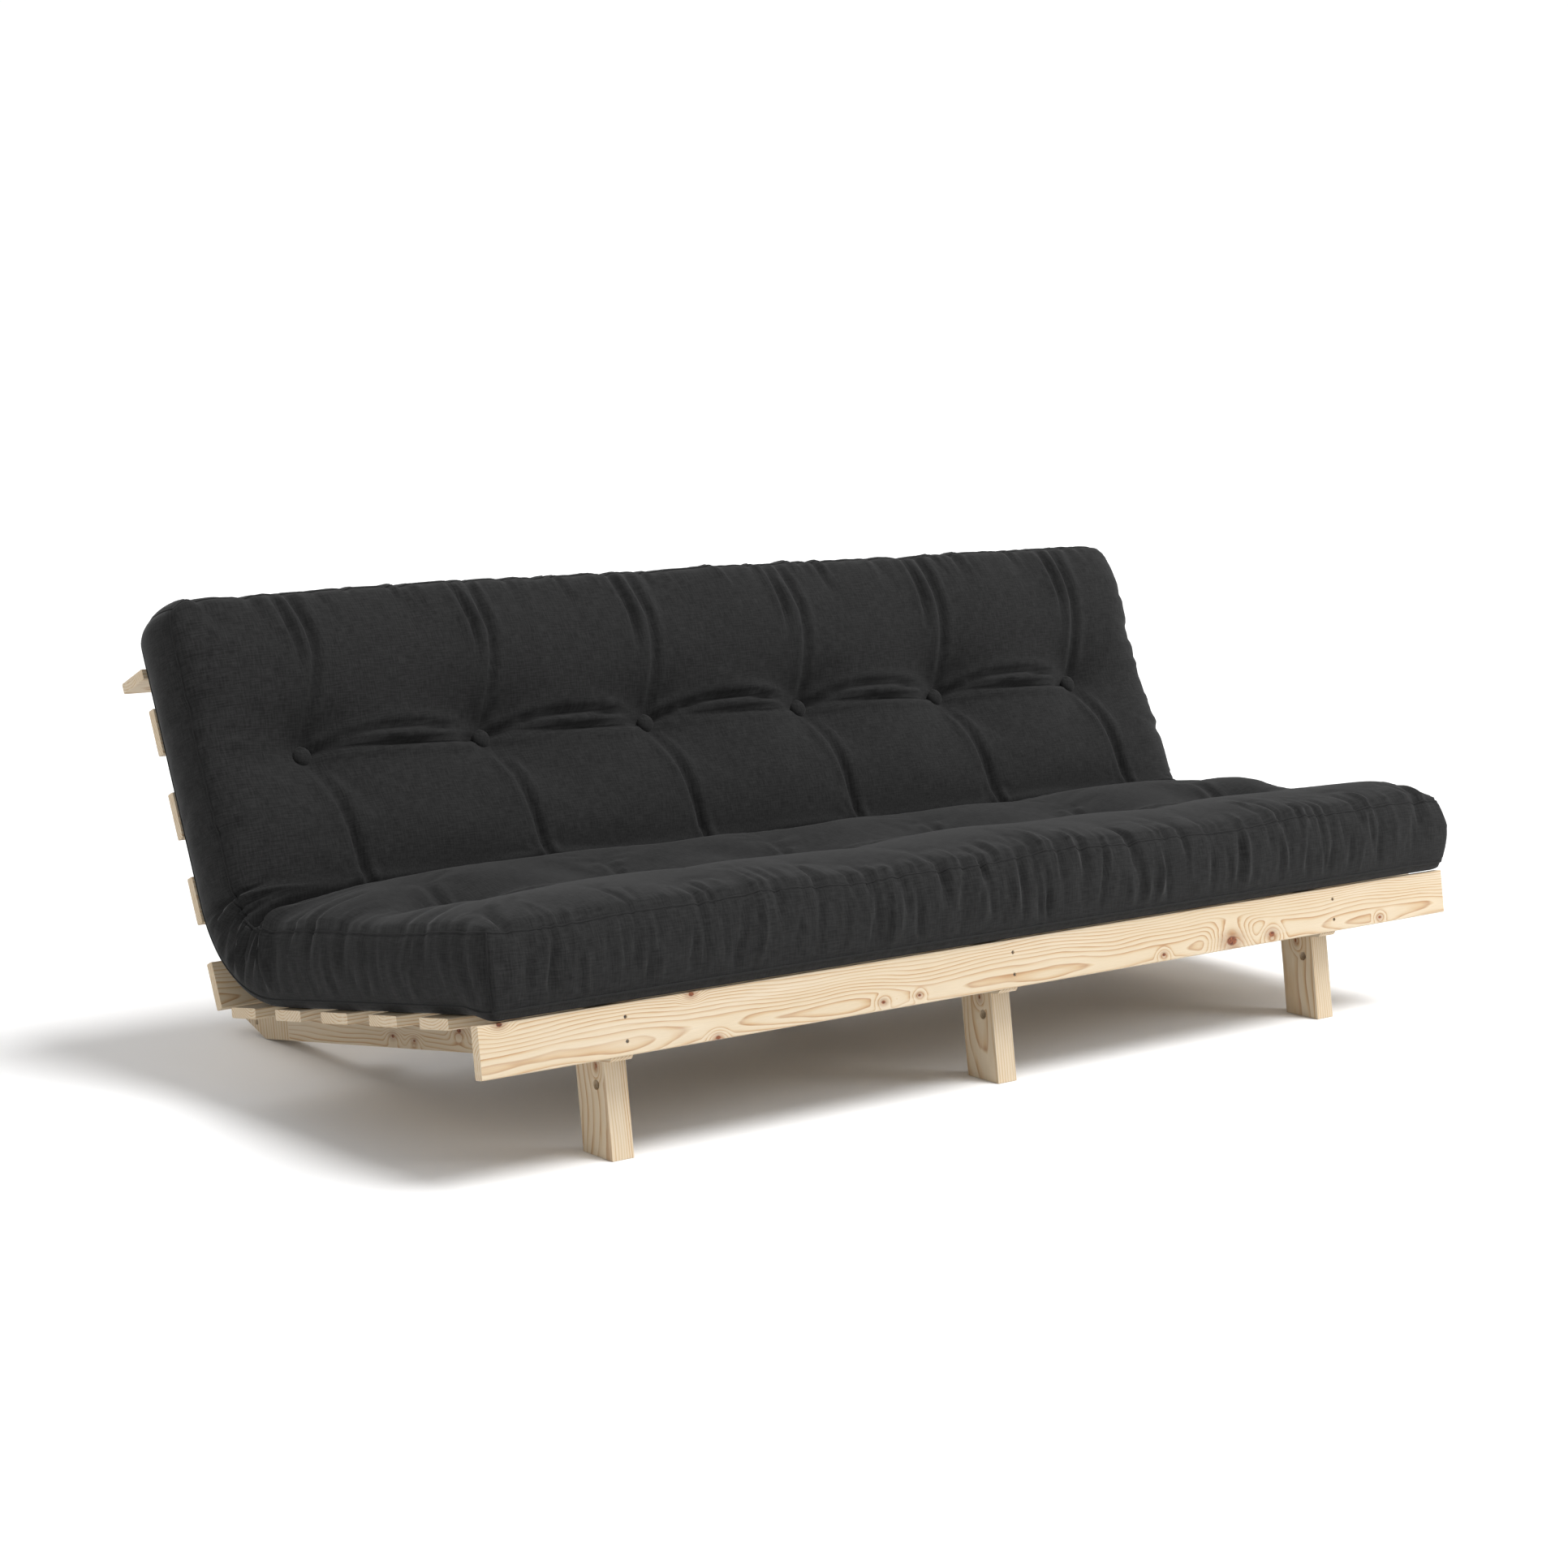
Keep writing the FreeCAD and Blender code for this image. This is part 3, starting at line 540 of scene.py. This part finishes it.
def settled(verts, quads, sewn, slack, cap):
    """Cloth simulation of the cover: spare length goes in away from the sewn places and air pressure
    holds it out, so it wrinkles. No point moves further than its cap."""
    mesh = bpy.data.meshes.new("cover_trial")
    mesh.from_pydata(verts.tolist(), [], quads.tolist())
    trial = bpy.data.objects.new("cover_trial", mesh)
    bpy.context.collection.objects.link(trial)
    for name, weights in (("sewn", sewn), ("slack", slack)):
        group = trial.vertex_groups.new(name=name)
        steps = np.round(weights * 20).astype(int)
        for step in np.unique(steps):
            group.add(np.nonzero(steps == step)[0].tolist(), step / 20, "REPLACE")
    cloth = trial.modifiers.new("cloth", "CLOTH")
    setup = cloth.settings
    setup.quality = CLOTH_QUALITY
    setup.mass = 0.3
    setup.tension_stiffness = setup.compression_stiffness = 15.0
    setup.shear_stiffness = 5.0
    setup.bending_stiffness = 0.2
    setup.vertex_group_mass = "sewn"
    setup.pin_stiffness = 1.0
    setup.vertex_group_shrink = "slack"
    setup.shrink_min = 0.0
    setup.shrink_max = -SPARE_LENGTH
    setup.use_pressure = True
    setup.uniform_pressure_force = AIR_PRESSURE
    setup.effector_weights.gravity = 0.0
    cloth.collision_settings.use_collision = False
    cloth.point_cache.frame_end = CLOTH_FRAMES
    for number in range(1, CLOTH_FRAMES + 1):
        bpy.context.scene.frame_set(number)
    shape = trial.evaluated_get(bpy.context.evaluated_depsgraph_get()).data
    moved = np.empty(len(verts) * 3, np.float32)
    shape.vertices.foreach_get("co", moved)
    bpy.context.scene.frame_set(1)
    bpy.data.objects.remove(trial)
    step = moved.reshape(-1, 3) - verts
    length = np.linalg.norm(step, axis=1, keepdims=True)
    return verts + step * np.minimum(1, cap[:, None] / np.maximum(length, 1e-9))


def build_mattress():
    """One closed skin on a box lattice: upper face, lower face and border. Gives the piece, the lines
    of its seams, and the bottoms of the back's and the seat's button hollows."""
    # Lattice steps along the sofa, from front to top edge, and up the border
    nx, nq, nw = ((400, 190, 14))
    xs = np.linspace(-HALF_LENGTH, HALF_LENGTH, nx + 1)
    qs = np.linspace(0, TOTAL_RUN, nq + 1)
    ws = np.linspace(LOW_SEAM, HIGH_SEAM, nw + 1)
    shell = np.zeros((nx + 1, nq + 1, nw + 1), bool)
    shell[0], shell[-1] = True, True
    shell[:, 0], shell[:, -1] = True, True
    shell[:, :, 0], shell[:, :, -1] = True, True
    i, j, k = np.nonzero(shell)
    rim = (i == 0) | (i == nx) | (j == 0) | (j == nq)
    on_top, on_bottom = k == nw, (k == 0) & ~rim
    index = -np.ones(shell.shape, int)
    index[i, j, k] = np.arange(len(i))
    x, q, w = xs[i], qs[j], ws[k]
    verts = mattress_points(x, q, w, on_top, on_bottom)

    def patch(grid, a, b, flip):
        """Quads over a 2-D grid of points, with their cloth coordinates."""
        chart = np.stack(np.meshgrid(a, b, indexing="ij"), -1) * MM
        quads = np.stack([grid[:-1, :-1], grid[1:, :-1], grid[1:, 1:], grid[:-1, 1:]], -1).reshape(-1, 4)
        corners = [chart[:-1, :-1], chart[1:, :-1], chart[1:, 1:], chart[:-1, 1:]]
        uv = np.stack(corners, -2).reshape(-1, 4, 2)
        return (quads[:, ::-1], uv[:, ::-1]) if flip else (quads, uv)

    parts = [patch(index[:, :, -1], xs, qs, False), patch(index[:, 0, :], xs, ws, False),
             patch(index[:, -1, :], xs, ws, True), patch(index[0], qs, ws, True),
             patch(index[-1], qs, ws, False), patch(index[:, :, 0], xs, qs, True)]
    cover = np.concatenate([part[0] for part in parts[:-1]])
    used, renamed = np.unique(cover, return_inverse=True)
    seam = np.where(on_top & rim, 0.55, 0.0) + np.where(k == 0, 1.0, 0.0)
    for row in (BACK_ROW, SEAT_ROW):
        for bx in BUTTON_X:
            seam = np.maximum(seam, np.where(on_top, bell(np.hypot(x - bx, q - row), 0, 22.0), 0))
    near_fold = bell(q, CREASE_Q, 90.0)
    sewn = np.clip(np.maximum(seam, 0.5 * near_fold * on_top), 0, 1)
    slack = np.clip(1 - 1.2 * seam, 0, 1)
    cap = (MOVE_CAP - MOVE_CAP_LOST_IN_FOLD * near_fold) * MM
    verts[used] = settled(verts[used], renamed.reshape(cover.shape), sewn[used], slack[used], cap[used])

    quads = np.concatenate([part[0] for part in parts])
    uvs = np.concatenate([part[1] for part in parts])
    mesh = bpy.data.meshes.new("mattress")
    mesh.from_pydata(verts.tolist(), [], quads.tolist())
    layer = mesh.uv_layers.new(name="cloth")
    layer.data.foreach_set("uv", uvs.reshape(-1).astype(np.float32))
    mesh.polygons.foreach_set("use_smooth", np.ones(len(quads), bool))
    mesh.update()
    piece = bpy.data.objects.new("mattress", mesh)
    bpy.context.collection.objects.link(piece)
    mesh.materials.append(charcoal)

    loops = []
    for level in (nw, 0):
        ring = [index[a, 0, level] for a in range(nx + 1)]
        ring += [index[nx, b, level] for b in range(1, nq + 1)]
        ring += [index[a, nq, level] for a in range(nx - 1, -1, -1)]
        ring += [index[0, b, level] for b in range(nq - 1, 0, -1)]
        loops.append((verts[ring], True))
    for a in (0, nx):
        for b in (0, nq):
            loops.append((verts[index[a, b, :]], False))
    hollows = {}
    for name, row in (("back", BACK_ROW), ("seat", SEAT_ROW)):
        spots = [index[int(round((bx + HALF_LENGTH) / (2 * HALF_LENGTH) * nx)),
                       int(round(row / TOTAL_RUN * nq)), nw] for bx in BUTTON_X]
        hollows[name] = verts[spots]
    return piece, loops, hollows


def tube(name, runs, radius, sides=6):
    """Thin round cord along runs of points, as one mesh."""
    verts, faces = [], []
    for points, closed in runs:
        base = len(verts)
        count = len(points)
        ahead = np.roll(points, -1, 0) - np.roll(points, 1, 0)
        if not closed:
            ahead[0], ahead[-1] = points[1] - points[0], points[-1] - points[-2]
        ahead /= np.linalg.norm(ahead, axis=1, keepdims=True) + 1e-12
        first = Vector(ahead[0]).orthogonal()
        for point, direction in zip(points, ahead):
            direction = Vector(direction)
            first = (first - direction * first.dot(direction)).normalized()
            second = direction.cross(first)
            for n in range(sides):
                angle = 2 * math.pi * n / sides
                verts.append(Vector(point) + (first * math.cos(angle) + second * math.sin(angle)) * radius)
        for n in range(count if closed else count - 1):
            here, there = base + n * sides, base + ((n + 1) % count) * sides
            for m in range(sides):
                faces.append((here + m, here + (m + 1) % sides, there + (m + 1) % sides, there + m))
    mesh = bpy.data.meshes.new(name)
    mesh.from_pydata(verts, [], faces)
    mesh.polygons.foreach_set("use_smooth", np.ones(len(faces), bool))
    piece = bpy.data.objects.new(name, mesh)
    bpy.context.collection.objects.link(piece)
    # Painted shade: the cord's dark colour stands for the shade in the seam's groove
    mesh.materials.append(seam_shade_cord)
    return piece


def covered_buttons(name, spots, up):
    """A row of cloth-covered buttons drawn down into the mattress, at the bottoms of their hollows."""
    # Outline as (radius, height) in mm, and how far its height 0 stands above the hollow's bottom
    profile = [(0.0, 9.0), (5.0, 8.6), (9.8, 7.0), (13.4, 4.2), (15.6, 0.6), (15.0, -2.6), (12.0, -4.5)]
    stand = 5.0
    around = 40
    side = ALONG_SOFA
    other = up.cross(side)
    verts, faces, uvs = [], [], []
    for spot in spots:
        start = len(verts)
        for radius, height in profile:
            for n in range(around):
                angle = 2 * math.pi * n / around
                r = radius * (1 + 0.012 * math.sin(angle * 13))
                verts.append(Vector(spot) + (side * math.cos(angle) * r + other * math.sin(angle) * r
                                             + up * (height + stand)) * MM)
                uvs.append((r * math.cos(angle) * MM, (r * math.sin(angle) + height) * MM))
        for ring in range(len(profile) - 1):
            for n in range(around):
                a, b = start + ring * around + n, start + ring * around + (n + 1) % around
                faces.append((a, a + around, b + around, b))
    mesh = bpy.data.meshes.new(name)
    mesh.from_pydata(verts, [], faces)
    layer = mesh.uv_layers.new(name="cloth")
    for loop in mesh.loops:
        layer.data[loop.index].uv = uvs[loop.vertex_index]
    mesh.polygons.foreach_set("use_smooth", np.ones(len(faces), bool))
    mesh.update()
    piece = bpy.data.objects.new(name, mesh)
    bpy.context.collection.objects.link(piece)
    mesh.materials.append(charcoal)
    return piece


# Radius in mm of the dark cord that stands for a sewn seam and the painted shade in its groove, thicker
# than its thread so that it shows
SEAM_RADIUS = 1.8
mattress, seam_runs, hollows = build_mattress()
# Seam cords in the darker colour: painted shade along the seam grooves
seams = tube("mattress_seam_shade_cords", seam_runs, SEAM_RADIUS * MM)
bend_start = Vector(place(0.0, 500.0, 40.0))
bend_end = Vector(place(0.0, *from_back(170.0, -40.0)))
for piece in (mattress, seams):
    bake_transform(piece)
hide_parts("seat_mattress", "back_mattress")
for half, body, node, facing in (("back", "back_frame", "back_buttons", -BACK_REARWARD),
                                 ("seat", "seat_frame", "seat_buttons", SEAT_UPWARD)):
    row = covered_buttons("buttons_%s_row" % half, hollows[half], facing)
    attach(row, body)
    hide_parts(node)

# ---------------------------------------------------------------- studio
# Paper sweep, calendered white: a flat matt ground that takes a soft shadow
floor_mesh = bpy.data.meshes.new("studio_floor")
floor_mesh.from_pydata([(-30, -30, 0), (30, -30, 0), (30, 30, 0), (-30, 30, 0)], [], [(0, 1, 2, 3)])
floor = bpy.data.objects.new("studio_floor", floor_mesh)
floor.location.z = -0.5 * MM
bpy.context.collection.objects.link(floor)
floor_mesh.materials.append(plain("paper_sweep_white", "#f9f9f9", 0.9, 0.0, 25.0))

# The camera sees plain white past the floor, and the pieces are lit by a dimmer sky
BACKDROP = 1.02
SKY_LIGHT = 0.40
SUN_STRENGTH = 3.1
REAR_STRENGTH = 0.8
world = bpy.data.worlds.new("studio_sky")
bpy.context.scene.world = world
world.use_nodes = True
sky = world.node_tree
sky.nodes.clear()
seen = add(sky, "ShaderNodeBackground", {"Color": linear("#ffffff"), "Strength": BACKDROP})
lighting = add(sky, "ShaderNodeBackground", {"Color": linear("#ffffff"), "Strength": SKY_LIGHT})
straight = add(sky, "ShaderNodeLightPath", out="Is Camera Ray")
add(sky, "ShaderNodeOutputWorld", {"Surface": add(sky, "ShaderNodeMixShader", {0: straight, 1: lighting,
                                                                               2: seen})})


def studio_light(name, kind, position, target, power, **settings):
    """Soft light aimed from one point at another."""
    data = bpy.data.lights.new(name, kind)
    data.energy = power
    for key, value in settings.items():
        setattr(data, key, value)
    lamp = bpy.data.objects.new(name, data)
    lamp.location = position
    lamp.rotation_euler = (Vector(target) - Vector(position)).to_track_quat("-Z", "Y").to_euler()
    bpy.context.collection.objects.link(lamp)


studio_light("overhead_bank", "SUN", (1.0, -1.3, 3.2), (0, 0, 0.3), SUN_STRENGTH, angle=math.radians(30))
studio_light("rear_bank", "SUN", (0.6, 2.4, 2.0), (0, 0, 0.3), REAR_STRENGTH, angle=math.radians(40))
studio_light("right_softbox", "AREA", (2.8, -2.6, 1.7), (0.8, -0.4, 0.3), 40.0, size=1.4)
studio_light("left_softbox", "AREA", (-3.6, -2.4, 0.9), (-0.5, -0.3, 0.1), 21.0, size=1.8)

# Camera: focal length and film width in mm, frame shift as a share of the width, place in metres
FOCAL_LENGTH = 70.47
FILM_WIDTH = 36.0
FRAME_SHIFT = (0.00411, 0.02143)
CAMERA_PLACE = (-3.04892, -3.716, 1.11143)
camera_data = bpy.data.cameras.new("camera")
camera_data.lens = FOCAL_LENGTH
camera_data.sensor_width = FILM_WIDTH
camera_data.shift_x, camera_data.shift_y = FRAME_SHIFT
camera_data.clip_end = 100.0
camera = bpy.data.objects.new("camera", camera_data)
camera_right = Vector((0.77808755, -0.62809947, 0.00841553))
camera_up = Vector((0.09431613, 0.13006286, 0.98700969))
camera_ahead = Vector((0.6210348, 0.76718623, -0.1604402))
turned = Matrix((camera_right, camera_up, -camera_ahead)).transposed().to_4x4()
camera.matrix_world = Matrix.Translation(CAMERA_PLACE) @ turned
bpy.context.collection.objects.link(camera)
bpy.context.scene.camera = camera
bpy.context.scene.view_settings.view_transform = "Standard"
bpy.context.scene.view_settings.look = "None"

bpy.context.view_layer.update()
